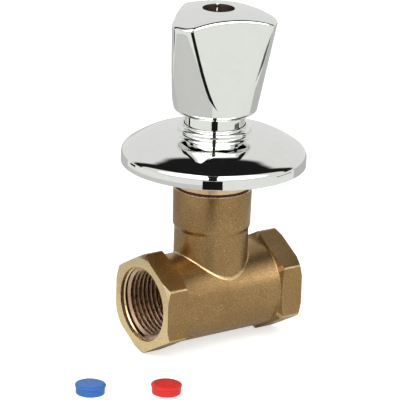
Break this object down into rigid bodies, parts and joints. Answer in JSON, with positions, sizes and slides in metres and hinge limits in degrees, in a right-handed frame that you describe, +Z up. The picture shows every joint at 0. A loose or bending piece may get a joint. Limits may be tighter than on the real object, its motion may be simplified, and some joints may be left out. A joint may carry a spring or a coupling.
{
  "type": "concealed stop valve",
  "caption": "Brass concealed stop valve with threaded hexagonal ports, chromed sleeve and round rosette, a three-sided chromed handle and loose index caps.",
  "frame": {"origin": "where the common axis of the two ports meets the axis of the stem", "axes": "+X along the pipe from the inlet to the outlet, +Z up the stem towards the handle"},
  "size_m": [0.104, 0.0739, 0.1251],
  "materials": {
    "blasted_brass": "sandblasted hot-pressed brass",
    "machined_brass": "turned brass",
    "chrome": "bright chrome plate",
    "red_fibre": "dark red fibre",
    "black_rubber": "black rubber",
    "spring_steel": "spring steel",
    "white_nylon": "white nylon",
    "blue_plastic": "blue moulded plastic",
    "red_plastic": "red moulded plastic"
  },
  "bodies": {
    "valve": {"valve_body": "blasted_brass", "bonnet_gasket": "red_fibre", "bonnet": "machined_brass", "sleeve": "chrome", "cold_index_cap": "blue_plastic", "hot_index_cap": "red_plastic"},
    "handle_and_spindle": {"spindle": "machined_brass", "spindle_clip": "spring_steel", "spindle_thrust_washer": "white_nylon", "spindle_o_ring_lower": "black_rubber", "spindle_o_ring_upper": "black_rubber", "handle": "chrome", "handle_insert": "machined_brass", "handle_screw": "machined_brass"},
    "plunger_and_washer": {"plunger": "machined_brass", "plunger_o_ring": "black_rubber", "seat_washer": "black_rubber", "washer_screw": "machined_brass"},
    "rosette": {"escutcheon": "chrome", "escutcheon_o_ring": "black_rubber"}
  },
  "joints": [
    {"name": "handle_turn", "type": "hinge", "parent": "valve", "child": "handle_and_spindle", "pos_m": [0, 0, 0.0486], "axis": [0, 0, 1], "range_deg": [0, 1080]},
    {"name": "plunger_lift", "type": "slide", "parent": "valve", "child": "plunger_and_washer", "axis": [0, 0, 1], "range_m": [0, 0.00526]},
    {"name": "escutcheon_slide", "type": "slide", "parent": "valve", "child": "rosette", "axis": [0, 0, 1], "range_m": [-0.0065, 0.004]}
  ],
  "couplings": [
    {"joint": "plunger_lift", "follows": "handle_turn", "m_per_rad": 0.00027852}
  ]
}
